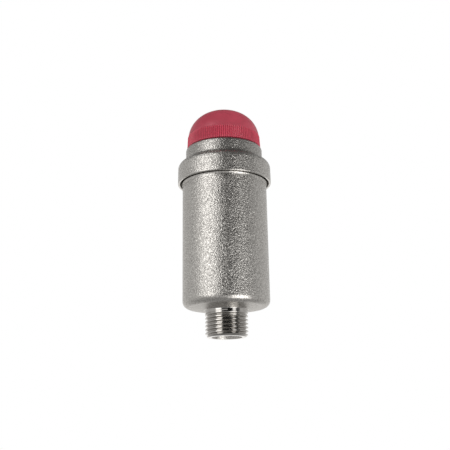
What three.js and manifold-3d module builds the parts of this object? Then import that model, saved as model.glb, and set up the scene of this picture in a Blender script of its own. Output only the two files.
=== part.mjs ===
// Automatic air vent for a heating system. A float inside a brass chamber works a lever, and the
// lever lifts a small valve that opens and shuts the nozzle under the red cap.
// Millimetres, +Z up along the vent's axis, origin at the centre of the inlet spigot's end face.
import * as THREE from "three";
import { mergeVertices } from "three/addons/utils/BufferGeometryUtils.js";
import Module from "manifold-3d";

const wasm = await Module();
wasm.setup();

// ---- Driving dimensions ----

const SIDES = { large: 48, medium: 32, small: 20 }; // facets round a turned part
const TOUCH = 0.1; // play between parts that are clamped together
const PLAY = 0.3; // play between parts that move, or that only meet when the vent works
const BEYOND = 1.0; // how far a cutting tool reaches past what it cuts

// G 1/2 pipe thread on the inlet spigot
const thread = { crest: 10.48, root: 9.32, pitch: 1.814, start: 1.0, ridges: 6 };
const spigot = { length: 13.3, bore: 6.5, endRadius: 9.5 };

const body = {
  radius: 21.5,
  neckRadius: 21.2, // just under the cover
  wall: 2.6,
  seatRadius: 13, // flat ring round the spigot, where a pipe fitting stops
  bottomRise: 1.0,
  bottomEdge: 3.4,
  floor: 17.0,
  floorFillet: 2.0,
  neckTop: 78.6, // hidden in the hollow of the cover's lip
  threadRadius: 20.7,
  rim: 84.0,
};

const cover = {
  bottom: 77.7,
  radius: 23.75,
  lipEdge: 0.7,
  lipInnerRadius: 22.5, // the lip is hollowed round the body's neck
  hollowTop: 79.5,
  threadRadius: 21.0,
  ledge: 85.9,
  shoulderTop: 88.8,
  shoulderEdge: 3.1,
  collarRadius: 19.6,
  collarFillet: 1.6,
  collarBore: 16.9,
  collarEdge: 1.2,
  ceiling: 92.5,
  top: 96.5,
  nozzleHole: 6.0,
};

const nozzle = {
  orifice: 1.0,
  seatRadius: 2.4,
  seat: 88.7,
  shoulder: 90.9,
  plugRadius: 5.7,
  hexBottom: 98.0,
  hexTop: 100.6,
  hexAcrossFlats: 15.6,
  postRadius: 5.0, // M10 thread that the cap screws onto
  postEdge: 0.6,
  top: 112.8,
};

// two grooves down the nozzle's post, where the air leaves
const groove = { width: 1.6, floorRadius: 4.2 };

const coverSeal = { radius: 19.8, section: 0.75 };
const nozzleSeal = { radius: 7.0, section: 0.6 };

// The bracket's two legs end in feet that are screwed to the cover
const bracket = {
  sheet: 0.8,
  halfWidth: 4.0,
  plateBottom: 81.2,
  leftLeg: -10.0,
  rightLeg: 7.0,
  leftFoot: -16.0,
  rightFoot: 13.0,
  screws: [-13.4, 10.2],
  clearHole: 1.7,
  ear: 2.0, // sheet left round the lever's pin
  guidePlay: 0.2,
};

const bracketScrew = {
  radius: 1.45,
  tappedHole: 1.6,
  headRadius: 2.6,
  headHeight: 1.7,
  headEdge: 0.6,
  length: 4.0,
  slot: { width: 0.8, depth: 0.8 },
};

const washer = { bore: 1.7, radius: 3.0, thickness: 0.5 };

// The lever lies along X, and turns on a pin along Y
const lever = {
  pivotX: -9.0,
  height: 74.6,
  thickness: 1.0,
  width: 5.6,
  barrelRadius: 1.9,
  pinPlay: 0.08,
  hookX: 9.5, // where the float's hook holds it
  taperStart: 4.0,
  taperEnd: 6.0,
  tongueWidth: 3.0,
  endX: 12.8,
};

// Heights along the pin are distances along Y from its middle
const pin = { radius: 1.0, grooveRadius: 0.75, headRadius: 1.8, headHeight: 0.9, clipFrom: 4.2, end: 5.2 };
const clip = { radius: 2.2, thickness: 0.4, opening: 70 };

// Heights from the stem's foot, which rests on the lever
const valve = {
  foot: lever.height + lever.thickness / 2 + PLAY,
  shaftRadius: 1.4,
  collarBottom: 6.9,
  collarTop: 7.7,
  collarRadius: 4.4,
  recess: 8.6,
  cupTop: 9.3,
  cupRadius: 2.6,
  padRadius: 2.0,
  padTop: 10.0,
};

const spring = { radius: 3.3, wire: 0.3, turns: 5, endPlay: 0.19 };

// Heights from the float's underside
const float = {
  bottom: 21.5,
  radius: 16.6,
  height: 44.1,
  wall: 1.0,
  edge: 3.0,
  seam: 1.6,
  baseThickness: 1.2,
  plugTop: 4.0,
  bossRadius: 3.0,
  bossDepth: 5.5,
};

const hook = { footEnd: 3.2, halfWidth: 3.5, overLever: 3.2, window: { halfWidth: 2.0, halfHeight: 1.3 } };

const hookScrew = {
  x: 6.2,
  radius: 1.2,
  depth: 4.0,
  headRadius: 2.0,
  headHeight: 1.2,
  headEdge: 0.45,
  slot: { width: 0.6, depth: 0.6 },
};

// Heights from the cap's lower edge
const cap = {
  bottom: cover.top + PLAY,
  baseRadius: 18.95,
  bandRadius: 18.7,
  bandTop: 5.5,
  shoulderRadius: 18.45,
  shoulder: 4.5,
  top: 20.5,
  roundness: 2.19, // exponent of the dome's superellipse: 2 is a plain ellipse
  wall: 1.7,
  hubRadius: 7.4,
  hubBottom: 4.4,
  roof: 0.1, // how much lower the hub's pocket ends than the dome's inside
};

const capSeal = { radius: 4.7, thickness: 1.5 };

// ---- Materials ----

function metal(color, roughness) {
  return new THREE.MeshStandardMaterial({ color, roughness, metalness: 1 });
}

function plain(color, roughness) {
  return new THREE.MeshStandardMaterial({ color, roughness, metalness: 0 });
}

const blastedNickel = metal(0xaaa7a1, 0.45);
const turnedBrass = metal(0xb99a5b, 0.3);
const stainless = metal(0xb8b8b6, 0.28);
const redPlastic = plain(0xb0303f, 0.4);
const rubber = plain(0x24211f, 0.7);
const floatPlastic = plain(0xd8d6cc, 0.5);

// ---- Geometry helpers ----

// A closed mesh with shared corners, no empty triangles and its faces pointing out
function closeMesh(geometry) {
  geometry.deleteAttribute("normal");
  geometry.deleteAttribute("uv");
  const merged = mergeVertices(geometry, 1e-4);
  const source = merged.index.array;
  const at = (i) => new THREE.Vector3().fromBufferAttribute(merged.attributes.position, i);
  const faces = [];
  let volume = 0;
  for (let i = 0; i < source.length; i += 3) {
    const [a, b, c] = [source[i], source[i + 1], source[i + 2]];
    if (a === b || b === c || c === a) continue;
    faces.push([a, b, c]);
    volume += at(a).dot(at(b).cross(at(c)));
  }
  merged.setIndex(faces.flatMap(([a, b, c]) => (volume < 0 ? [a, c, b] : [a, b, c])));
  return merged;
}

function toSolid(geometry) {
  return new wasm.Manifold(
    new wasm.Mesh({
      numProp: 3,
      vertProperties: geometry.attributes.position.array,
      triVerts: new Uint32Array(geometry.index.array),
    }),
  );
}

function toGeometry(solid) {
  const mesh = solid.getMesh();
  const geometry = new THREE.BufferGeometry();
  geometry.setAttribute("position", new THREE.BufferAttribute(mesh.vertProperties, 3));
  geometry.setIndex(new THREE.BufferAttribute(mesh.triVerts, 1));
  return geometry;
}

// The first geometry with one list joined on and the other cut away
function carve(base, { add = [], cut = [] }) {
  const joined = add.reduce((solid, piece) => solid.add(toSolid(piece)), toSolid(base));
  return toGeometry(cut.reduce((solid, tool) => solid.subtract(toSolid(tool)), joined));
}

// Points of an arc in a [radius, height] outline, angles in degrees from the outward direction
function arc(centreR, centreZ, radius, from, to, steps) {
  return Array.from({ length: steps + 1 }, (_, i) => {
    const angle = THREE.MathUtils.degToRad(from + ((to - from) * i) / steps);
    return [centreR + radius * Math.cos(angle), centreZ + radius * Math.sin(angle)];
  });
}

// A solid turned about +Z from an outline of [radius, height] corners
function turned(outline, sides) {
  const points = outline.map(([r, z]) => new THREE.Vector2(r, z));
  const onAxis = points[0].x === 0 && points.at(-1).x === 0;
  if (!onAxis) points.push(points[0].clone());
  return closeMesh(new THREE.LatheGeometry(points, sides).rotateX(Math.PI / 2));
}

// A block from its lowest corner to its highest
function block(low, high) {
  const size = high.map((value, i) => value - low[i]);
  const centre = high.map((value, i) => (value + low[i]) / 2);
  return closeMesh(new THREE.BoxGeometry(...size).translate(...centre));
}

// A round rod along Z, standing x from the axis
function rod(radius, from, to, { x = 0, sides = SIDES.small } = {}) {
  const geometry = new THREE.CylinderGeometry(radius, radius, to - from, sides);
  return closeMesh(geometry.rotateX(Math.PI / 2).translate(x, 0, (from + to) / 2));
}

// A round rod along Y
function crossRod(radius, from, to) {
  const geometry = new THREE.CylinderGeometry(radius, radius, to - from, SIDES.small);
  return closeMesh(geometry.translate(0, (from + to) / 2, 0));
}

function oRing({ radius, section }) {
  return closeMesh(new THREE.TorusGeometry(radius, section, 8, SIDES.medium));
}

// Points of a dome of superellipse section, from its foot towards the axis, ending at endRadius
function dome(radius, foot, top, endRadius, steps) {
  return Array.from({ length: steps + 1 }, (_, i) => {
    const r = endRadius + (radius - endRadius) * Math.cos((Math.PI / 2) * (i / steps));
    return [r, domeHeight(r, radius, foot, top)];
  });
}

function domeHeight(r, radius, foot, top) {
  const n = cap.roundness;
  return foot + (top - foot) * (1 - (r / radius) ** n) ** (1 / n);
}

// ---- Housing ----

function threadOutline() {
  const outline = [];
  for (let i = 0; i < thread.ridges; i += 1) {
    const crest = thread.start + i * thread.pitch;
    outline.push([thread.crest, crest], [thread.root, crest + thread.pitch / 2]);
  }
  outline.push([thread.crest, thread.start + thread.ridges * thread.pitch]);
  return outline;
}

function makeBody() {
  const inner = body.radius - body.wall;
  const edgeCentre = spigot.length + body.bottomRise + body.bottomEdge;
  return turned(
    [
      [spigot.bore, 0],
      [spigot.endRadius, 0],
      ...threadOutline(),
      [thread.crest, spigot.length],
      [body.seatRadius, spigot.length],
      ...arc(body.radius - body.bottomEdge, edgeCentre, body.bottomEdge, -90, 0, 5),
      [body.neckRadius, body.neckTop],
      [body.threadRadius, body.neckTop],
      [body.threadRadius, body.rim],
      [inner, body.rim],
      ...arc(inner - body.floorFillet, body.floor + body.floorFillet, body.floorFillet, 0, -90, 3),
      [spigot.bore, body.floor],
    ],
    SIDES.large,
  );
}

function makeCover() {
  const { radius, lipEdge, shoulderTop, shoulderEdge, collarRadius, collarFillet, collarEdge } = cover;
  const shell = turned(
    [
      [cover.threadRadius, cover.hollowTop],
      [cover.lipInnerRadius, cover.bottom],
      ...arc(radius - lipEdge, cover.bottom + lipEdge, lipEdge, -90, 0, 3),
      ...arc(radius - shoulderEdge, shoulderTop - shoulderEdge, shoulderEdge, 0, 72, 5),
      ...arc(collarRadius + collarFillet, shoulderTop + collarFillet, collarFillet, 252, 180, 3),
      ...arc(collarRadius - collarEdge, cover.top - collarEdge, collarEdge, 0, 90, 3),
      [cover.nozzleHole, cover.top],
      [cover.nozzleHole, cover.ceiling],
      [cover.collarBore, cover.ceiling],
      [cover.collarBore, cover.ledge],
      [cover.threadRadius, cover.ledge],
    ],
    SIDES.large,
  );
  const holeTop = screwHeights.end + 0.4;
  const holes = bracket.screws.map((x) => {
    return rod(bracketScrew.tappedHole, cover.ceiling - BEYOND, holeTop, { x });
  });
  return carve(shell, { cut: holes });
}

function makeNozzle() {
  const blank = turned(
    [
      [nozzle.orifice, nozzle.seat],
      [nozzle.seatRadius, nozzle.seat],
      [nozzle.seatRadius, nozzle.shoulder],
      [nozzle.plugRadius, nozzle.shoulder],
      [nozzle.plugRadius, nozzle.hexTop],
      [nozzle.postRadius, nozzle.hexTop],
      [nozzle.postRadius, nozzle.top - nozzle.postEdge],
      [nozzle.postRadius - nozzle.postEdge, nozzle.top],
      [nozzle.orifice, nozzle.top],
    ],
    SIDES.medium,
  );
  const hexRadius = nozzle.hexAcrossFlats / 2 / Math.cos(Math.PI / 6);
  const hex = rod(hexRadius, nozzle.hexBottom, nozzle.hexTop, { sides: 6 });
  const bore = rod(nozzle.orifice, nozzle.seat - BEYOND, nozzle.top + BEYOND);
  const half = groove.width / 2;
  const grooveBottom = nozzle.hexTop + nozzle.postEdge;
  const outer = nozzle.postRadius + BEYOND;
  const grooves = [
    block([-half, groove.floorRadius, grooveBottom], [half, outer, nozzle.top + BEYOND]),
    block([-half, -outer, grooveBottom], [half, -groove.floorRadius, nozzle.top + BEYOND]),
  ];
  return carve(blank, { add: [hex], cut: [bore, ...grooves] });
}

// ---- Bracket and its screws ----

const bracketFoot = cover.ceiling - TOUCH - bracket.sheet;
const washerBottom = bracketFoot - TOUCH - washer.thickness;
const screwHeights = { head: washerBottom - TOUCH, end: washerBottom - TOUCH + bracketScrew.length };

function makeBracket() {
  const { sheet, halfWidth: w, plateBottom, leftLeg, rightLeg } = bracket;
  const plateTop = plateBottom + sheet;
  const footTop = bracketFoot + sheet;
  const earLeft = lever.pivotX - bracket.ear;
  const earBottom = lever.height - bracket.ear;
  const stopLeft = lever.pivotX + lever.barrelRadius + bracket.guidePlay;
  const stopRight = stopLeft + sheet;
  const stopTop = lever.height - lever.thickness / 2 - PLAY;
  const plate = block([leftLeg, -w, plateBottom], [rightLeg, w, plateTop]);
  const walls = [
    block([leftLeg, -w, plateBottom], [leftLeg + sheet, w, footTop]),
    block([rightLeg - sheet, -w, plateBottom], [rightLeg, w, footTop]),
    block([bracket.leftFoot, -w, bracketFoot], [leftLeg + sheet, w, footTop]),
    block([rightLeg - sheet, -w, bracketFoot], [bracket.rightFoot, w, footTop]),
    block([earLeft, -w, earBottom], [stopRight, -w + sheet, plateTop]),
    block([earLeft, w - sheet, earBottom], [stopRight, w, plateTop]),
    block([stopLeft, -w, stopTop - sheet], [stopRight, w, stopTop]), // the lever's lower stop
  ];
  const pinHole = crossRod(pin.radius + TOUCH, -w - BEYOND, w + BEYOND);
  const screwHoles = bracket.screws.map((x) => {
    return rod(bracket.clearHole, bracketFoot - BEYOND, footTop + BEYOND, { x });
  });
  const guide = rod(valve.shaftRadius + bracket.guidePlay, plateBottom - BEYOND, plateTop + BEYOND);
  return carve(plate, {
    add: walls,
    cut: [pinHole.translate(lever.pivotX, 0, lever.height), guide, ...screwHoles],
  });
}

// A pan-head screw pointing up, with a straight slot in its head and its zero under the head
function makeBracketScrew() {
  const { radius, headRadius, headHeight, headEdge, length, slot } = bracketScrew;
  const outline = [
    [0, -headHeight],
    [headRadius - headEdge, -headHeight],
    [headRadius, headEdge - headHeight],
    [headRadius, 0],
    [radius, 0],
    [radius, length],
    [0, length],
  ];
  const slotLow = [-headRadius - BEYOND, -slot.width / 2, -headHeight - BEYOND];
  const slotHigh = [headRadius + BEYOND, slot.width / 2, slot.depth - headHeight];
  return carve(turned(outline, SIDES.small), { cut: [block(slotLow, slotHigh)] });
}

function makeWasher() {
  const { bore, radius, thickness } = washer;
  const outline = [
    [bore, 0],
    [radius, 0],
    [radius, thickness],
    [bore, thickness],
  ];
  return turned(outline, SIDES.small);
}

// ---- Lever and its pin, about the pivot ----

function makeLever() {
  const half = lever.width / 2;
  const tongue = lever.tongueWidth / 2;
  const along = (x) => x - lever.pivotX;
  const outline = new THREE.Shape([
    new THREE.Vector2(0, -half),
    new THREE.Vector2(along(lever.taperStart), -half),
    new THREE.Vector2(along(lever.taperEnd), -tongue),
    new THREE.Vector2(along(lever.endX), -tongue),
    new THREE.Vector2(along(lever.endX), tongue),
    new THREE.Vector2(along(lever.taperEnd), tongue),
    new THREE.Vector2(along(lever.taperStart), half),
    new THREE.Vector2(0, half),
  ]);
  const strip = new THREE.ExtrudeGeometry(outline, { depth: lever.thickness, bevelEnabled: false });
  strip.translate(0, 0, -lever.thickness / 2);
  return carve(closeMesh(strip), {
    add: [crossRod(lever.barrelRadius, -half, half)],
    cut: [crossRod(pin.radius + lever.pinPlay, -half - BEYOND, half + BEYOND)],
  });
}

function makePivotPin() {
  const headFrom = -bracket.halfWidth - TOUCH;
  const clipTo = pin.clipFrom + clip.thickness;
  const core = crossRod(pin.grooveRadius, pin.clipFrom - BEYOND, clipTo + BEYOND);
  const sleeve = crossRod(pin.radius + BEYOND, pin.clipFrom - TOUCH / 2, clipTo + TOUCH / 2);
  return carve(crossRod(pin.radius, headFrom - pin.headHeight / 2, pin.end), {
    add: [crossRod(pin.headRadius, headFrom - pin.headHeight, headFrom)],
    cut: [carve(sleeve, { cut: [core] })],
  });
}

// An open ring that snaps into the pin's groove
function makePivotClip() {
  const gap = THREE.MathUtils.degToRad(clip.opening / 2);
  const outline = new THREE.Shape();
  outline.absarc(0, 0, clip.radius, gap, 2 * Math.PI - gap, false);
  outline.absarc(0, 0, pin.grooveRadius + TOUCH, 2 * Math.PI - gap, gap, true);
  const ring = { depth: clip.thickness, bevelEnabled: false, curveSegments: 10 };
  return closeMesh(new THREE.ExtrudeGeometry(outline, ring).rotateX(Math.PI / 2));
}

// ---- Valve ----

function makeValveStem() {
  const { shaftRadius: r, collarBottom, collarTop, collarRadius, cupRadius, cupTop, recess } = valve;
  const recessRadius = valve.padRadius + TOUCH;
  return turned(
    [
      [0, 0],
      ...arc(0, r, r, -65, 0, 3),
      [r, collarBottom],
      [collarRadius, collarBottom],
      [collarRadius, collarTop],
      [cupRadius, collarTop],
      [cupRadius, cupTop],
      [recessRadius, cupTop],
      [recessRadius, recess],
      [0, recess],
    ],
    SIDES.medium,
  );
}

function makeValvePad() {
  return rod(valve.padRadius, valve.recess + TOUCH, valve.padTop, { sides: SIDES.medium });
}

class Helix extends THREE.Curve {
  constructor(radius, height, turns) {
    super();
    Object.assign(this, { radius, height, turns });
  }

  getPoint(t, target = new THREE.Vector3()) {
    const angle = 2 * Math.PI * this.turns * t;
    return target.set(this.radius * Math.cos(angle), this.radius * Math.sin(angle), this.height * t);
  }
}

const springFoot = valve.foot + valve.collarTop + spring.wire + spring.endPlay;
const springTop = nozzle.shoulder - spring.wire - spring.endPlay;

function makeReturnSpring() {
  const section = new THREE.Shape();
  section.absarc(0, 0, spring.wire, 0, 2 * Math.PI);
  const path = new Helix(spring.radius, springTop - springFoot, spring.turns);
  const wound = { steps: 80, curveSegments: 3, extrudePath: path, bevelEnabled: false };
  return closeMesh(new THREE.ExtrudeGeometry(section, wound));
}

// ---- Float ----

function makeFloatShell() {
  const { radius, wall, height, edge, seam } = float;
  const shell = turned(
    [
      [0, height],
      ...arc(radius - edge, height - edge, edge, 90, 0, 4),
      [radius, seam],
      [radius - wall, seam],
      ...arc(radius - edge, height - edge, edge - wall, 0, 90, 4),
      [0, height - wall],
    ],
    SIDES.medium,
  );
  const { x, radius: screwRadius, depth } = hookScrew;
  const boss = rod(float.bossRadius, height - float.bossDepth, height - wall / 2, { x });
  const hole = rod(screwRadius + TOUCH, height - depth - PLAY, height + BEYOND, { x });
  return carve(shell, { add: [boss], cut: [hole] });
}

// The float's lower lid, with a ring that plugs into the shell
function makeFloatBase() {
  const { radius, wall, seam, baseThickness, plugTop } = float;
  const plug = radius - wall - TOUCH;
  const rim = seam - TOUCH;
  return turned(
    [
      [0, 0],
      [radius - 1, 0],
      [radius, 1],
      [radius, rim],
      [plug, rim],
      [plug, plugTop],
      [plug - 1, plugTop],
      [plug - 1, baseThickness],
      [0, baseThickness],
    ],
    SIDES.medium,
  );
}

// A folded strip on the float's top, with a window that the lever's tongue passes through
function makeFloatHook() {
  const { footEnd, halfWidth: w, overLever, window } = hook;
  const { sheet } = bracket;
  const foot = float.height + TOUCH;
  const leverHeight = lever.height - float.bottom;
  const left = lever.hookX - sheet / 2;
  const right = lever.hookX + sheet / 2;
  const opening = block(
    [left - BEYOND, -window.halfWidth, leverHeight - window.halfHeight],
    [right + BEYOND, window.halfWidth, leverHeight + window.halfHeight],
  );
  const hole = rod(hookScrew.radius + TOUCH, foot - BEYOND, foot + sheet + BEYOND, { x: hookScrew.x });
  return carve(block([footEnd, -w, foot], [right, w, foot + sheet]), {
    add: [block([left, -w, foot], [right, w, leverHeight + overLever])],
    cut: [opening, hole],
  });
}

// A self-tapping screw with its zero under the head
function makeHookScrew() {
  const { radius, headRadius, headHeight, headEdge, slot } = hookScrew;
  const shank = hookScrew.depth + bracket.sheet + 2 * TOUCH;
  const outline = [
    [0, -shank],
    [radius, -shank],
    [radius, 0],
    [headRadius, 0],
    [headRadius, headHeight - headEdge],
    [headRadius - headEdge, headHeight],
    [0, headHeight],
  ];
  const slotLow = [-headRadius - BEYOND, -slot.width / 2, headHeight - slot.depth];
  const slotHigh = [headRadius + BEYOND, slot.width / 2, headHeight + BEYOND];
  return carve(turned(outline, SIDES.small), { cut: [block(slotLow, slotHigh)] });
}

// ---- Cap ----

function makeCap() {
  const hubBore = nozzle.postRadius + PLAY;
  const inner = cap.shoulderRadius - cap.wall;
  const innerTop = cap.top - cap.wall;
  const pocketTop = domeHeight(hubBore, inner, cap.shoulder, innerTop) - cap.roof;
  const stepTop = cap.bandTop + cap.bandRadius - cap.shoulderRadius;
  const skin = dome(cap.shoulderRadius, cap.shoulder, cap.top, 0, 11);
  return turned(
    [
      [cap.baseRadius, 0],
      [cap.bandRadius, cap.bandTop],
      ...skin.filter(([, z]) => z > stepTop),
      [0, pocketTop],
      [hubBore, pocketTop],
      [hubBore, cap.hubBottom],
      [cap.hubRadius, cap.hubBottom],
      ...dome(inner, cap.shoulder, innerTop, cap.hubRadius, 6).reverse(),
      [cap.baseRadius - cap.wall, 0],
    ],
    SIDES.large,
  );
}

function makeCapSeal() {
  return rod(capSeal.radius, 0, capSeal.thickness, { sides: SIDES.medium });
}

// ---- Assembly ----

const vent = new THREE.Group();

// A named mesh in a group, measured from the group's own zero
function place(group, name, geometry, material, { x = 0, y = 0, z = 0 } = {}) {
  const mesh = new THREE.Mesh(geometry, material);
  mesh.name = name;
  mesh.position.set(x, y, z);
  group.add(mesh);
}

// A group of pieces that share one zero
function makeGroup(x, z) {
  const group = new THREE.Group();
  group.position.set(x, 0, z);
  vent.add(group);
  return group;
}

const housing = makeGroup(0, 0);
place(housing, "body", makeBody(), blastedNickel);
place(housing, "cover", makeCover(), blastedNickel);
place(housing, "cover_o_ring", oRing(coverSeal), rubber, { z: (body.rim + cover.ledge) / 2 });
place(housing, "vent_nozzle", makeNozzle(), turnedBrass);
place(housing, "nozzle_o_ring", oRing(nozzleSeal), rubber, { z: (cover.top + nozzle.hexBottom) / 2 });
place(housing, "lever_bracket", makeBracket(), stainless);
bracket.screws.forEach((x, i) => {
  place(housing, `bracket_screw_${i + 1}`, makeBracketScrew(), stainless, { x, z: screwHeights.head });
  place(housing, `bracket_washer_${i + 1}`, makeWasher(), stainless, { x, z: washerBottom });
});
place(housing, "return_spring", makeReturnSpring(), stainless, { z: springFoot });

const pivotGroup = makeGroup(lever.pivotX, lever.height);
place(pivotGroup, "lever_pivot_pin", makePivotPin(), stainless);
place(pivotGroup, "pivot_clip", makePivotClip(), stainless, { y: pin.clipFrom + clip.thickness });
place(pivotGroup, "lever_arm", makeLever(), stainless);

const valveGroup = makeGroup(0, valve.foot);
place(valveGroup, "valve_stem", makeValveStem(), turnedBrass);
place(valveGroup, "valve_pad", makeValvePad(), rubber);

const floatGroup = makeGroup(0, float.bottom);
const hookTop = float.height + bracket.sheet + 2 * TOUCH;
place(floatGroup, "float_shell", makeFloatShell(), floatPlastic);
place(floatGroup, "float_base", makeFloatBase(), floatPlastic);
place(floatGroup, "float_hook", makeFloatHook(), stainless);
place(floatGroup, "hook_screw", makeHookScrew(), stainless, { x: hookScrew.x, z: hookTop });

const capGroup = makeGroup(0, cap.bottom);
place(capGroup, "cap_seal", makeCapSeal(), rubber, { z: nozzle.top + PLAY - cap.bottom });
place(capGroup, "red_cap", makeCap(), redPlastic);

export default vent;
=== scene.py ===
"""Looks of an automatic air vent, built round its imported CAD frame.

Outlines are (radius, height) points about the vent's axis, in millimetres. Blender's own unit is the metre.
"""
import math

import bmesh
import bpy
import numpy as np
from mathutils import Matrix, Vector


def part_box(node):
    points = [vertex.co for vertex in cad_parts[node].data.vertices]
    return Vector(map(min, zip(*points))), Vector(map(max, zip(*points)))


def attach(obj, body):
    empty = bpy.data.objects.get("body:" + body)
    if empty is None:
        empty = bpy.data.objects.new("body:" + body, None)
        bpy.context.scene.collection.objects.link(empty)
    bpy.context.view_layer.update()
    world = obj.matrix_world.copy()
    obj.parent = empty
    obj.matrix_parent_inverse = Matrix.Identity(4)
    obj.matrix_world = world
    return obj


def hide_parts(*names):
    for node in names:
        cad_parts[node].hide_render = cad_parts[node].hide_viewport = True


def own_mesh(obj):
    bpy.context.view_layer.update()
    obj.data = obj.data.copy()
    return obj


MM = 0.001

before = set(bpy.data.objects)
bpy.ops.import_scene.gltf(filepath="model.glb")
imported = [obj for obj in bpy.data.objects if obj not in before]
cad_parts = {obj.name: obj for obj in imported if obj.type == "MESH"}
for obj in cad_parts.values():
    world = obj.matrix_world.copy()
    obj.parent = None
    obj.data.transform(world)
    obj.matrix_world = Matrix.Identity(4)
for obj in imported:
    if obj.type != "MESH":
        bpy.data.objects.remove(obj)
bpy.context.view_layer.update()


# ---- Driving dimensions, in millimetres ----

COLUMNS = 192  # points round the housing
BODY_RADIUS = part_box("body")[1].x / MM
BODY_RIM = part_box("body")[1].z / MM
COVER_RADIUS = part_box("cover")[1].x / MM
COVER_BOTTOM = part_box("cover")[0].z / MM
COVER_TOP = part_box("cover")[1].z / MM
CAP_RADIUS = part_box("red_cap")[1].x / MM
CAP_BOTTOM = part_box("red_cap")[0].z / MM
CAP_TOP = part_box("red_cap")[1].z / MM

THREAD_CREST = 10.48
THREAD_ROOT = 9.32
THREAD_PITCH = 1.814
THREAD_END = 11.9
SPIGOT_LENGTH = 13.3
SPIGOT_BORE = 6.5
BORE_MOUTH = 7.5  # radius of the bore's conical mouth at the spigot's end
SPIGOT_END_RADIUS = 9.3

RIB_COUNT = 110
RIB_DEPTH = 0.5
BAND_TOP = 103.4  # where the ribbed band ends and the dome's step begins
DOME_ROUNDNESS = 2.19  # exponent of the dome's outline: 2 is an ellipse, more is squarer


# ---- Mesh helpers ----

def arc(centre_r, centre_z, radius, start, stop, steps):
    """Points of an arc in an outline, angles in degrees from the outward direction."""
    angles = np.radians(np.linspace(start, stop, steps + 1))
    return [(centre_r + radius * math.cos(a), centre_z + radius * math.sin(a)) for a in angles]


def evenly(outline, spacing):
    """The outline with points added so that none are further apart than spacing."""
    points = [outline[0]]
    for (r0, z0), (r1, z1) in zip(outline, outline[1:]):
        count = max(1, math.ceil(math.hypot(r1 - r0, z1 - z0) / spacing))
        points += [(r0 + (r1 - r0) * k / count, z0 + (z1 - z0) * k / count) for k in range(1, count + 1)]
    return points


def grid_faces(rows, columns, first=0):
    """Quads between consecutive rings of points, each ring closing on itself."""
    faces = []
    for k in range(rows - 1):
        for i in range(columns):
            j = (i + 1) % columns
            a, b = first + k * columns, first + (k + 1) * columns
            faces.append((a + i, a + j, b + j, b + i))
    return faces


def rings(outline, columns):
    """Rings of points turned about the axis, as an array of (rows, columns, 3) in millimetres."""
    angle = np.linspace(0, 2 * math.pi, columns, endpoint=False)
    r = np.array([p[0] for p in outline])[:, None]
    z = np.array([p[1] for p in outline])[:, None]
    return np.stack([r * np.cos(angle), r * np.sin(angle), z + 0 * angle], axis=-1)


def make_piece(name, points, faces, materials, sharp_angle=32):
    """A smooth-shaded piece from points in millimetres, with doubled points merged."""
    mesh = bpy.data.meshes.new(name)
    mesh.from_pydata((np.asarray(points).reshape(-1, 3) * MM).tolist(), [], faces)
    bm = bmesh.new()
    bm.from_mesh(mesh)
    bmesh.ops.remove_doubles(bm, verts=bm.verts, dist=2e-6)
    bmesh.ops.recalc_face_normals(bm, faces=bm.faces)
    limit = math.radians(sharp_angle)
    for edge in bm.edges:
        edge.smooth = len(edge.link_faces) == 2 and edge.calc_face_angle(0) < limit
    for face in bm.faces:
        face.smooth = True
    bm.to_mesh(mesh)
    bm.free()
    for material in materials:
        mesh.materials.append(material)
    piece = bpy.data.objects.new(name, mesh)
    bpy.context.scene.collection.objects.link(piece)
    return piece


def turned(name, outline, columns, materials):
    """A piece turned about the axis from an outline that closes on itself or ends on the axis."""
    return make_piece(name, rings(outline, columns), grid_faces(len(outline), columns), materials)


# ---- Node helpers ----

class Nodes:
    """Adds and links shader nodes in one tree."""

    def __init__(self, tree):
        self.tree = tree
        tree.nodes.clear()

    def add(self, kind, inputs=None, **settings):
        """A new node; an input is a number, a colour or another node's socket."""
        node = self.tree.nodes.new(kind)
        for key, value in settings.items():
            setattr(node, key, value)
        for key, value in (inputs or {}).items():
            if isinstance(value, bpy.types.NodeSocket):
                self.tree.links.new(value, node.inputs[key])
            else:
                node.inputs[key].default_value = value
        return node

    def math(self, operation, *values):
        """One arithmetic step on sockets or numbers."""
        return self.add("ShaderNodeMath", dict(enumerate(values)), operation=operation).outputs[0]

    def dot(self, vector, axis):
        """How far a vector reaches along an axis."""
        node = self.add("ShaderNodeVectorMath", {0: vector, 1: tuple(axis)}, operation="DOT_PRODUCT")
        return node.outputs["Value"]

    def stretch(self, vector, factors):
        """The vector with its three parts multiplied by three factors."""
        node = self.add("ShaderNodeVectorMath", {0: vector, 1: factors}, operation="MULTIPLY")
        return node.outputs["Vector"]

    def bump(self, height, strength, depth):
        """A surface normal from a height of 0 to 1; depth is in millimetres."""
        node = self.add("ShaderNodeBump", {"Height": height, "Strength": strength, "Distance": depth * MM})
        return node.outputs["Normal"]

    def window(self, value, inner, outer):
        """1 below inner, 0 above outer, smooth between them."""
        node = self.add(
            "ShaderNodeMapRange",
            {"Value": value, "From Min": inner, "From Max": outer, "To Min": 1.0, "To Max": 0.0},
            interpolation_type="SMOOTHSTEP",
        )
        return node.outputs["Result"]

    def noise(self, vector, scale, detail=2.0, roughness=0.5):
        """Even noise from 0 to 1, with about scale grains to the millimetre."""
        node = self.add(
            "ShaderNodeTexNoise",
            {"Vector": vector, "Scale": scale, "Detail": detail, "Roughness": roughness},
        )
        return node.outputs["Fac"]

    def ramp(self, value, stops):
        """A colour between two stops, each a position and a colour."""
        node = self.add("ShaderNodeValToRGB", {"Fac": value})
        for element, (position, colour) in zip(node.color_ramp.elements, stops):
            element.position = position
            element.color = (*colour, 1.0)
        return node.outputs["Color"]

    def remap(self, value, low, high, start=0.0, stop=1.0):
        """low up to start, high from stop on, and a straight line between them."""
        node = self.add(
            "ShaderNodeMapRange",
            {"Value": value, "From Min": start, "From Max": stop, "To Min": low, "To Max": high},
        )
        return node.outputs["Result"]


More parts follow.
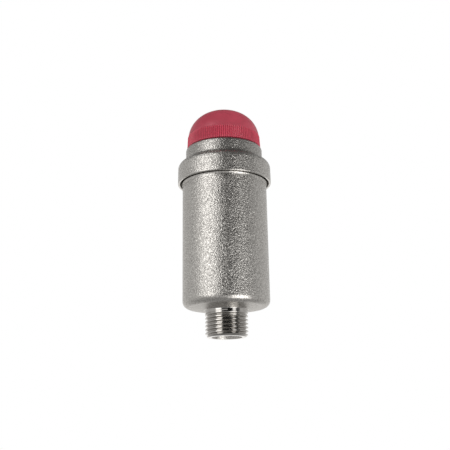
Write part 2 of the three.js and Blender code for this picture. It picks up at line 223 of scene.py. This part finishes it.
def new_material(name):
    """A material with its node builder, its shader and coordinates in millimetres."""
    material = bpy.data.materials.new(name)
    material.use_nodes = True
    nodes = Nodes(material.node_tree)
    shader = nodes.add("ShaderNodeBsdfPrincipled")
    nodes.add("ShaderNodeOutputMaterial", {"Surface": shader.outputs["BSDF"]})
    coordinates = nodes.add("ShaderNodeTexCoord").outputs["Object"]
    millimetres = nodes.add("ShaderNodeVectorMath", {0: coordinates, "Scale": 1 / MM}, operation="SCALE")
    return material, nodes, shader, millimetres.outputs["Vector"]


def plug(nodes, shader, **inputs):
    """Sets shader sockets: a linked node where the value varies, a plain number where it doesn't."""
    names = {"base": "Base Color", "rough": "Roughness", "metal": "Metallic", "normal": "Normal"}
    for key, value in inputs.items():
        socket = shader.inputs[names[key]]
        if isinstance(value, bpy.types.NodeSocket):
            nodes.tree.links.new(value, socket)
        else:
            socket.default_value = value


# ---- Materials ----

def blasted_nickel():
    """Nickel plate over a blasted casting, with grains about half a millimetre across.

    The grain is worn down on the body's bottom edge and by the cover's lip. Painted shade makes the plate a
    little darker on the collar, above the cover's shoulder.
    """
    grain_depth = 0.27
    underside, edge_middle, edge_top = 14.3, 15.8, 18.4
    shoulder, collar = 87.0, 91.0
    material, nodes, shader, mm = new_material("blasted_nickel")
    grain = nodes.noise(nodes.stretch(mm, (1.0, 1.0, 1.35)), 1.7, detail=1.0)
    pits = nodes.noise(mm, 1.8, detail=0.0)
    wave = nodes.noise(mm, 0.16, detail=1.0)
    height = nodes.math("ADD", grain, nodes.math("MULTIPLY", wave, 0.6))
    level = nodes.dot(mm, (0, 0, 1))
    below_lip = nodes.remap(level, 1.0, 0.3, COVER_BOTTOM - 2.0, COVER_BOTTOM - 0.9)
    above_lip = nodes.remap(level, 0.3, 1.0, COVER_BOTTOM + 0.3, COVER_BOTTOM + 0.9)
    off_lip = nodes.math("MAXIMUM", below_lip, above_lip)
    off_edge = nodes.remap(level, 0.10, 1.0, edge_middle, edge_top)
    normal = nodes.bump(height, nodes.math("MINIMUM", off_edge, off_lip), grain_depth)
    grained = nodes.remap(pits, 0.32, 0.20, 0.36, 0.64)
    rough = nodes.math("MAXIMUM", grained, nodes.remap(level, 0.46, 0.20, underside, edge_top))
    tint = nodes.ramp(pits, [(0.30, (0.48, 0.465, 0.445)), (0.70, (0.76, 0.745, 0.715))])
    # Painted shade: the plate darkens to four fifths from the shoulder's height up to the collar.
    collar_painted_shade = nodes.remap(level, 1.0, 0.80, shoulder, collar)
    shaded = nodes.add("ShaderNodeHueSaturation", {"Color": tint, "Value": collar_painted_shade}).outputs["Color"]
    plug(nodes, shader, base=shaded, rough=rough, metal=1.0, normal=normal)
    return material


def joint_painted_shade():
    """Painted shade: dark, dull metal inside the joint between the body and the cover, where the recess is
    shaded.
    """
    material, nodes, shader, mm = new_material("joint_painted_shade")
    shade_mottle = nodes.noise(mm, 0.9, detail=3.0)
    tint = nodes.ramp(shade_mottle, [(0.3, (0.20, 0.19, 0.17)), (0.7, (0.33, 0.31, 0.28))])
    rough = nodes.remap(shade_mottle, 0.40, 0.60, 0.3, 0.7)
    plug(nodes, shader, base=tint, rough=rough, metal=0.6)
    return material


def polished_nickel():
    """Nickel plate on the machined spigot, with fine turning lines."""
    material, nodes, shader, mm = new_material("polished_nickel")
    lines = nodes.noise(nodes.stretch(mm, (0.15, 0.15, 9.0)), 1.0, detail=3.0, roughness=0.6)
    spots = nodes.noise(mm, 0.8, detail=3.0)
    tint = nodes.ramp(spots, [(0.3, (0.50, 0.485, 0.465)), (0.7, (0.60, 0.585, 0.565))])
    rough = nodes.remap(spots, 0.07, 0.13, 0.3, 0.7)
    plug(nodes, shader, base=tint, rough=rough, metal=1.0, normal=nodes.bump(lines, 0.2, 0.01))
    return material


def red_plastic():
    """Moulded red plastic, slightly waxy, with painted shade in the grooves between the cap's ribs and a
    painted highlight on their crests.
    """
    material, nodes, shader, mm = new_material("red_moulding")
    cloud = nodes.noise(mm, 0.18, detail=3.0)
    skin = nodes.noise(mm, 4.0, detail=2.0)
    tint = nodes.ramp(cloud, [(0.3, (0.43, 0.041, 0.074)), (0.7, (0.50, 0.051, 0.090))])
    place = nodes.add("ShaderNodeSeparateXYZ", {0: mm}).outputs
    # Painted shade in the grooves and painted highlight on the ribs' crests, over the ribbed band only.
    turn = nodes.math("ARCTAN2", place["Y"], place["X"])
    ridge = nodes.math("COSINE", nodes.math("MULTIPLY", turn, RIB_COUNT))
    band = nodes.remap(place["Z"], 1.0, 0.0, BAND_TOP - 0.3, BAND_TOP)
    contrast = nodes.remap(ridge, -0.12, 0.44, -1.0, 1.0)  # from a groove's bottom to a rib's crest
    rib_painted_shade = nodes.math("ADD", 1.0, nodes.math("MULTIPLY", band, contrast))
    shaded = nodes.add("ShaderNodeHueSaturation", {"Color": tint, "Value": rib_painted_shade}).outputs["Color"]
    rough = nodes.remap(skin, 0.32, 0.44, 0.3, 0.7)
    plug(nodes, shader, base=shaded, rough=rough, normal=nodes.bump(skin, 0.3, 0.015))
    shader.inputs["IOR"].default_value = 1.56
    return material


def brushed_stainless():
    """Stainless strip, wire and screws, brushed along one direction."""
    material, nodes, shader, mm = new_material("brushed_stainless")
    streaks = nodes.noise(nodes.stretch(mm, (0.5, 9.0, 9.0)), 1.0, detail=3.0, roughness=0.65)
    tint = nodes.ramp(streaks, [(0.3, (0.56, 0.56, 0.55)), (0.7, (0.68, 0.68, 0.67))])
    rough = nodes.remap(streaks, 0.22, 0.36, 0.3, 0.7)
    plug(nodes, shader, base=tint, rough=rough, metal=1.0, normal=nodes.bump(streaks, 0.3, 0.02))
    return material


def turned_brass():
    """Bright brass with fine turning lines round its axis."""
    material, nodes, shader, mm = new_material("bright_turned_brass")
    lines = nodes.noise(nodes.stretch(mm, (0.2, 0.2, 8.0)), 1.0, detail=3.0, roughness=0.6)
    tint = nodes.ramp(lines, [(0.3, (0.62, 0.45, 0.20)), (0.7, (0.75, 0.58, 0.30))])
    rough = nodes.remap(lines, 0.16, 0.30, 0.3, 0.7)
    plug(nodes, shader, base=tint, rough=rough, metal=1.0, normal=nodes.bump(lines, 0.3, 0.02))
    return material


def black_rubber():
    """Dull black rubber of the seals and the valve's pad."""
    material, nodes, shader, mm = new_material("black_rubber")
    skin = nodes.noise(mm, 6.0, detail=3.0)
    tint = nodes.ramp(skin, [(0.3, (0.012, 0.012, 0.012)), (0.7, (0.03, 0.029, 0.028))])
    rough = nodes.remap(skin, 0.55, 0.75, 0.3, 0.7)
    plug(nodes, shader, base=tint, rough=rough, normal=nodes.bump(skin, 0.4, 0.03))
    return material


def float_moulding():
    """Off-white plastic of the float, a little cloudy."""
    material, nodes, shader, mm = new_material("float_moulding")
    cloud = nodes.noise(mm, 0.25, detail=3.0)
    skin = nodes.noise(mm, 5.0, detail=2.0)
    tint = nodes.ramp(cloud, [(0.3, (0.70, 0.68, 0.60)), (0.7, (0.80, 0.78, 0.71))])
    rough = nodes.remap(skin, 0.40, 0.55, 0.3, 0.7)
    plug(nodes, shader, base=tint, rough=rough, normal=nodes.bump(skin, 0.3, 0.02))
    return material


def pale_floor(inner, outer):
    """A pale studio floor that turns into the white backdrop between two distances, in millimetres."""
    material, nodes, shader, mm = new_material("pale_floor")
    speckle = nodes.noise(mm, 0.02, detail=4.0)
    tint = nodes.ramp(speckle, [(0.3, (0.84, 0.84, 0.835)), (0.7, (0.88, 0.88, 0.875))])
    plug(nodes, shader, base=tint, rough=0.9)
    distance = nodes.add("ShaderNodeVectorMath", {0: mm}, operation="LENGTH").outputs["Value"]
    backdrop = nodes.add("ShaderNodeEmission", {"Color": (1.0, 1.0, 1.0, 1.0)})
    far = nodes.math("SUBTRACT", 1.0, nodes.window(distance, inner, outer))
    mix = nodes.add("ShaderNodeMixShader", {0: far, 1: shader.outputs["BSDF"], 2: backdrop.outputs[0]})
    nodes.add("ShaderNodeOutputMaterial", {"Surface": mix.outputs[0]}).is_active_output = True
    return material


# ---- Housing ----

def thread_radius(phase, height):
    """The pipe thread's radius at a phase of its pitch, 0 to 1, with a chamfered start and a run-out."""
    root_share, flank_share, runout_turns = 0.10, 0.66, 1.2
    rounding = 0.6  # 0 leaves the flanks straight, 1 rounds them fully
    rise = 1 - abs(2 * phase - 1)
    slope = np.clip((rise - root_share) / flank_share, 0, 1)
    form = slope * slope * (3 - 2 * slope) * rounding + slope * (1 - rounding)
    runout = np.clip((THREAD_END - height) / (runout_turns * THREAD_PITCH), 0, 1)
    depth = (THREAD_CREST - THREAD_ROOT) * runout
    chamfer = SPIGOT_END_RADIUS + height
    return np.minimum(THREAD_CREST - depth * (1 - form), chamfer)


def thread_skin(columns):
    """Points and faces of the spigot's threaded length, in rows that follow the helix."""
    rising = [0, 0.06, 0.1, 0.2, 0.3, 0.4, 0.44]  # closer together by the root and the crest
    phases = rising + [0.5] + [1 - phase for phase in reversed(rising[1:])]
    per_turn = len(phases)
    turns = math.ceil(THREAD_END / THREAD_PITCH) + 2
    rows = per_turn * turns + 1
    points = np.zeros((rows, columns, 3))
    for k in range(rows):
        phase = phases[k % per_turn]
        for i in range(columns):
            angle = 2 * math.pi * i / columns
            height = (k // per_turn + phase - 1 + i / columns) * THREAD_PITCH
            height = min(max(height, 0.0), THREAD_END)
            r = float(thread_radius(phase, height))
            points[k, i] = r * math.cos(angle), r * math.sin(angle), height
    faces = []
    for k in range(rows - 1):
        for i in range(columns - 1):
            a = k * columns + i
            faces.append((a, a + 1, a + columns + 1, a + columns))
    for k in range(rows - 1 - per_turn):  # the last column joins the first one, a turn higher up
        a = k * columns + columns - 1
        b = (k + per_turn) * columns
        faces.append((a, b, b + columns, a + columns))
    return points.reshape(-1, 3), faces


def body_outline():
    """The body from the top of the thread up the outside, down the inside and back along the end face."""
    wall = 2.6
    seat, rise, edge = 13.0, 1.0, 3.4
    neck_radius, neck_top, thread_top_radius = 21.37, COVER_BOTTOM + 0.9, 20.7
    flare, flare_foot = 3.8, COVER_BOTTOM - 1.7
    inner, floor = BODY_RADIUS - wall, 17.0
    floor_fillet, mouth_depth, spigot_fillet = 2, 3.0, 0.35
    foot = SPIGOT_LENGTH + rise
    outside = [
        (THREAD_CREST, THREAD_END),
        *arc(THREAD_CREST + spigot_fillet, SPIGOT_LENGTH - spigot_fillet, spigot_fillet, 180, 90, 5),
        (seat, SPIGOT_LENGTH),
        *arc(BODY_RADIUS - edge, foot + edge, edge, -90, 0, 14),
        *evenly([(BODY_RADIUS, foot + edge + 0.5), (neck_radius, flare_foot - 0.3)], 1.2),
        *arc(neck_radius + flare, flare_foot, flare, 180, 155, 6),
        (neck_radius, neck_top - 0.3),
        (neck_radius - 0.3, neck_top),
        (thread_top_radius, neck_top),
        (thread_top_radius, BODY_RIM - 0.5),
        (thread_top_radius - 0.5, BODY_RIM),
    ]
    inside = [
        (inner, BODY_RIM),
        *arc(inner - floor_fillet, floor + floor_fillet, floor_fillet, 0, -90, 8),
        (SPIGOT_BORE, floor),
        (SPIGOT_BORE, mouth_depth),
        (BORE_MOUTH, 0),
        (SPIGOT_END_RADIUS, 0),
    ]
    return outside + inside


def make_body(cast, machined, joint):
    """The body: machined on the thread and the spigot's end, cast elsewhere, with painted shade in the
    joint.
    """
    machined_slot, joint_slot = 1, 2
    thread_points, thread_faces = thread_skin(COLUMNS)
    outline = body_outline()
    points = np.concatenate([thread_points, rings(outline, COLUMNS).reshape(-1, 3)])
    faces = thread_faces + grid_faces(len(outline), COLUMNS, first=len(thread_points))
    body = make_piece("body_casting", points, faces, [cast, machined, joint])
    # Faces below the spigot's shoulder are machined; faces inside the cover get the joint's painted shade.
    for face in body.data.polygons:
        centre = face.center / MM
        radius = math.hypot(centre.x, centre.y)
        if centre.z < SPIGOT_LENGTH - 0.02 and radius > BORE_MOUTH + 0.1:
            face.material_index = machined_slot
        elif centre.z > COVER_BOTTOM - 0.05:
            face.material_index = joint_slot
    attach(body, "housing")
    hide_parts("body")
    return body


def make_cover(cast, joint):
    """The cover: a lip hollowed round the body's neck, the flange, its shoulder and the collar."""
    joint_slot = 1
    side = COVER_RADIUS - 0.1
    lip, lip_inner = 0.45, 22.7
    collar, collar_edge = 19.6, 1.2
    shoulder, shoulder_top, shoulder_turn, fillet = 3.4, 89.0, 68.0, 2.2
    cover_thread, hollow_top = 21.3, 81.0
    ledge_radius, ledge_height = 21.0, 85.9
    chamber_radius, chamber_top = 16.9, 92.5
    nozzle_hole = 6.0
    meet_z = shoulder_top - shoulder * (1 - math.sin(math.radians(shoulder_turn)))
    foot = meet_z + fillet * math.sin(math.radians(shoulder_turn))
    hollow = [
        (cover_thread, hollow_top),
        (21.5, 79.4),
        (lip_inner, COVER_BOTTOM + 0.15),
        (lip_inner + 0.15, COVER_BOTTOM),
    ]
    outline = [
        *hollow,
        *arc(COVER_RADIUS - lip, COVER_BOTTOM + lip, lip, -90, 0, 10),
        *arc(side - shoulder, shoulder_top - shoulder, shoulder, 0, shoulder_turn, 18),
        *arc(collar + fillet, foot, fillet, 180 + shoulder_turn, 180, 12),
        *arc(collar - collar_edge, COVER_TOP - collar_edge, collar_edge, 0, 90, 10),
        (nozzle_hole, COVER_TOP),
        (nozzle_hole, chamber_top),
        (chamber_radius, chamber_top),
        (chamber_radius, ledge_height),
        (ledge_radius, ledge_height),
        (ledge_radius, hollow_top),
        hollow[0],
    ]
    cover = turned("cover_casting", evenly(outline, 1.5), COLUMNS, [cast, joint])
    # Faces inside the lip get the joint's painted shade.
    for face in cover.data.polygons:
        centre = face.center / MM
        if centre.z < hollow_top and math.hypot(centre.x, centre.y) < lip_inner:
            face.material_index = joint_slot
    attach(cover, "housing")
    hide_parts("cover")
    return cover


# ---- Cap ----

def dome_radius(height, radius, base, top):
    """Radius of the dome's outline at a height."""
    share = np.clip((height - base) / (top - base), 0, 1)
    return float(radius * (1 - share ** DOME_ROUNDNESS) ** (1 / DOME_ROUNDNESS))


def dome_height(r, radius, base, top):
    """Height of the dome's outline over a radius."""
    share = (1 - (r / radius) ** DOME_ROUNDNESS) ** (1 / DOME_ROUNDNESS)
    return float(base + (top - base) * share)


def make_cap(plastic):
    """The dome cap: a band of fine ribs with a small step above it, hollow, with a threaded hub inside."""
    columns = RIB_COUNT * 6
    base, shoulder_radius, wall = 101.3, 18.5, 1.7
    inner_radius, inner_top = shoulder_radius - wall, CAP_TOP - wall
    hub_bore, hub_radius, hub_bottom, pocket_top = 5.3, 7.4, 101.2, 114.9
    edge_radius = CAP_RADIUS - 0.45
    rib_foot, rib_head, draft = CAP_BOTTOM + 0.5, BAND_TOP - 0.4, 0.3
    outside = [  # radius, height, share of the ribs' depth
        (edge_radius, CAP_BOTTOM, 0),
        (CAP_RADIUS - 0.12, CAP_BOTTOM + 0.15, 0.3),
        *((CAP_RADIUS - draft * k, rib_foot + (rib_head - rib_foot) * k, 1) for k in np.linspace(0, 1, 7)),
        (CAP_RADIUS - 0.42, BAND_TOP - 0.12, 0.5),
        (CAP_RADIUS - 0.55, BAND_TOP, 0),
    ]
    for share in np.linspace(0.02, 1, 26):
        height = BAND_TOP + (CAP_TOP - BAND_TOP) * math.sin(share * math.pi / 2)
        outside.append((dome_radius(height, shoulder_radius, base, CAP_TOP), height, 0))
    hollow_radii = np.linspace(hub_radius, inner_radius, 12)
    inside = [
        (0.0, pocket_top),
        (hub_bore, pocket_top),
        (hub_bore, hub_bottom),
        (hub_radius, hub_bottom),
        *((r, dome_height(r, inner_radius, base, inner_top)) for r in hollow_radii),
        (CAP_RADIUS - wall, CAP_BOTTOM),
        (edge_radius, CAP_BOTTOM),
    ]
    outline = [(r, height) for r, height, rib in outside] + inside
    points = rings(outline, columns)
    angle = np.linspace(0, 2 * math.pi, columns, endpoint=False)
    groove = RIB_DEPTH * (0.5 - 0.5 * np.cos(RIB_COUNT * angle))
    for k, (radius, height, rib) in enumerate(outside):
        r = radius - rib * groove
        points[k, :, 0] = r * np.cos(angle)
        points[k, :, 1] = r * np.sin(angle)
    faces = grid_faces(len(outline), columns)
    cap = make_piece("ribbed_dome_cap", points, faces, [plastic], sharp_angle=50)
    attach(cap, "cap")
    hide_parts("red_cap")
    return cap


# ---- Inner pieces ----

def finish_cad_nodes(finishes):
    """Gives each CAD node that stays in sight its procedural material."""
    for name, material in finishes.items():
        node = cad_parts[name]
        node.data.materials.clear()
        node.data.materials.append(material)


def make_spring(material):
    """The return spring, with closed end coils."""
    low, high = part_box("return_spring")
    wire, turns, steps, sides = 0.3, 5, 48, 10
    closed_turns, even_rise = 0.75, 0.12  # nearly flat turns at each end; rise shared by all the turns
    coil = high.x / MM - wire
    bottom, top = low.z / MM + wire, high.z / MM - wire
    rows = turns * steps + 1
    points = []
    for k in range(rows):
        share = k / (rows - 1)
        angle = 2 * math.pi * turns * share
        open_share = np.clip((share * turns - closed_turns) / (turns - 2 * closed_turns), 0, 1)
        height = bottom + (top - bottom) * (even_rise * share + (1 - even_rise) * open_share)
        for s in range(sides):
            turn = 2 * math.pi * s / sides
            r = coil + wire * math.cos(turn)
            points.append((r * math.cos(angle), r * math.sin(angle), height + wire * math.sin(turn)))
    faces = grid_faces(rows, sides)
    faces += [tuple(range(sides))[::-1], tuple(range((rows - 1) * sides, rows * sides))]
    spring = make_piece("wound_return_spring", points, faces, [material])
    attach(spring, "housing")
    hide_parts("return_spring")
    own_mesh(spring)
    return spring


# ---- Studio ----

def direction(azimuth, elevation):
    """A unit vector; azimuth 0 points to the camera's side of the object and grows to the right."""
    a, e = math.radians(azimuth), math.radians(elevation)
    return Vector((math.sin(a) * math.cos(e), -math.cos(a) * math.cos(e), math.sin(e)))


def softbox(nodes, ray, azimuth, elevation, half_width, half_height, strength, soft):
    """A rectangle in the surroundings, in degrees; its edge fades over the share soft of its size."""
    forward = direction(azimuth, elevation)
    right = direction(azimuth + 90, 0)
    up = forward.cross(right)
    ahead = nodes.math("MAXIMUM", nodes.dot(ray, forward), 0.001)
    across = nodes.math("ABSOLUTE", nodes.math("DIVIDE", nodes.dot(ray, right), ahead))
    along = nodes.math("ABSOLUTE", nodes.math("DIVIDE", nodes.dot(ray, up), ahead))
    w, h = math.tan(math.radians(half_width)), math.tan(math.radians(half_height))
    inside = nodes.math(
        "MULTIPLY",
        nodes.window(across, w * (1 - soft), w * (1 + soft)),
        nodes.window(along, h * (1 - soft), h * (1 + soft)),
    )
    return nodes.math("MULTIPLY", inside, strength)


def glow(nodes, ray, azimuth, elevation, width, strength):
    """A round soft glow; width is about its half size in degrees."""
    sharpness = 1 / (1 - math.cos(math.radians(width)))
    cosine = nodes.dot(ray, direction(azimuth, elevation))
    fade = nodes.math("MULTIPLY", nodes.math("SUBTRACT", cosine, 1.0), sharpness)
    return nodes.math("MULTIPLY", nodes.math("EXPONENT", fade), strength)


def make_studio():
    """A pale room with soft lights on the left, low on the right and behind, and dark cards in front."""
    # azimuth, elevation, half width, half height, strength, softness
    dark_cards = [
        (0, 15, 29, 20, 0.97, 0.12),
        (66, 12, 9, 22, 0.7, 0.2),
        (40, 26, 26, 44, 0.60, 0.5),
    ]
    lights = [
        (-43.5, 20, 16, 26, 1.75, 0.35),
        (42, 2, 8, 8, 1.2, 0.4),
        (42, -32, 17, 22, 2.6, 0.15),
    ]
    walls, ceiling, floor_share = 0.42, 0.12, 0.50  # the walls' glare is added to the ceiling's
    world = bpy.data.worlds.new("studio")
    bpy.context.scene.world = world
    world.use_nodes = True
    nodes = Nodes(world.node_tree)
    ray = nodes.add("ShaderNodeTexCoord").outputs["Generated"]
    height = nodes.dot(ray, (0, 0, 1))
    glare = nodes.math("ADD", nodes.math("MULTIPLY", nodes.window(height, 0.40, 0.90), walls), ceiling)
    glare = nodes.math("MULTIPLY", glare, nodes.remap(height, floor_share, 1.0, -0.85, -0.2))
    for card in dark_cards:
        glare = nodes.math("MULTIPLY", glare, nodes.math("SUBTRACT", 1.0, softbox(nodes, ray, *card)))
    for light in lights:
        glare = nodes.math("ADD", glare, softbox(nodes, ray, *light))
    glare = nodes.math("ADD", glare, glow(nodes, ray, 180, -15, 32, 0.64))
    fill = nodes.remap(nodes.dot(ray, direction(50, -25)), 0.35, 1.35, -1.0, 1.0)  # for dull surfaces
    path = nodes.add("ShaderNodeLightPath").outputs
    glare = nodes.add("ShaderNodeMix", {"Factor": path["Is Diffuse Ray"], 2: glare, 3: fill}).outputs[0]
    warm, white = (1.0, 0.985, 0.965, 1.0), (1.0, 1.0, 1.0, 1.0)
    room = nodes.add("ShaderNodeBackground", {"Color": warm, "Strength": glare}).outputs[0]
    backdrop = nodes.add("ShaderNodeBackground", {"Color": white, "Strength": 1.0}).outputs[0]
    seen = nodes.add("ShaderNodeMixShader", {0: path["Is Camera Ray"], 1: room, 2: backdrop})
    nodes.add("ShaderNodeOutputWorld", {"Surface": seen.outputs[0]})


def make_floor():
    """A round floor under the vent, in metres. It doesn't show in the vent's reflections."""
    radius, drop = 2.4, 0.15
    fade_start, fade_end = 0.15 * radius / MM, 0.85 * radius / MM
    mesh = bpy.data.meshes.new("floor")
    bm = bmesh.new()
    bmesh.ops.create_circle(bm, cap_ends=True, radius=radius, segments=96)
    bm.to_mesh(mesh)
    bm.free()
    mesh.materials.append(pale_floor(fade_start, fade_end))
    floor = bpy.data.objects.new("floor", mesh)
    floor.location.z = -drop
    floor.visible_glossy = False
    bpy.context.scene.collection.objects.link(floor)


def make_camera():
    """A camera below the vent, looking up at its middle."""
    target = Vector((-0.05, 0, 56.54)) * MM
    distance, focal_length = 365 * MM, 57.85
    elevation, roll = math.radians(-15.49), math.radians(-0.95)
    forward = Vector((0, math.cos(elevation), -math.sin(elevation)))
    level = Vector((1, 0, 0))
    up = level.cross(forward)
    right = level * math.cos(roll) + up * math.sin(roll)
    up = up * math.cos(roll) - level * math.sin(roll)
    camera = bpy.data.objects.new("camera", bpy.data.cameras.new("camera"))
    camera.data.lens = focal_length
    camera.data.sensor_width = 36
    camera.data.clip_start, camera.data.clip_end = 0.01, 20
    turn = Matrix((right, up, -forward)).transposed().to_4x4()
    camera.matrix_world = Matrix.Translation(target - forward * distance) @ turn
    bpy.context.scene.collection.objects.link(camera)
    bpy.context.scene.camera = camera


make_camera()
make_studio()
make_floor()

nickel = blasted_nickel()
stainless = brushed_stainless()
brass = turned_brass()
rubber = black_rubber()
moulding = float_moulding()
joint = joint_painted_shade()

make_body(nickel, polished_nickel(), joint)
make_cover(nickel, joint)
make_cap(red_plastic())
make_spring(stainless)
finish_cad_nodes({
    "cover_o_ring": rubber,
    "vent_nozzle": brass,
    "nozzle_o_ring": rubber,
    "lever_bracket": stainless,
    "bracket_screw_1": stainless,
    "bracket_washer_1": stainless,
    "bracket_screw_2": stainless,
    "bracket_washer_2": stainless,
    "lever_pivot_pin": stainless,
    "pivot_clip": stainless,
    "lever_arm": stainless,
    "valve_stem": brass,
    "valve_pad": rubber,
    "float_shell": moulding,
    "float_base": moulding,
    "float_hook": stainless,
    "hook_screw": stainless,
    "cap_seal": rubber,
})

bpy.context.scene.view_settings.view_transform = "Standard"
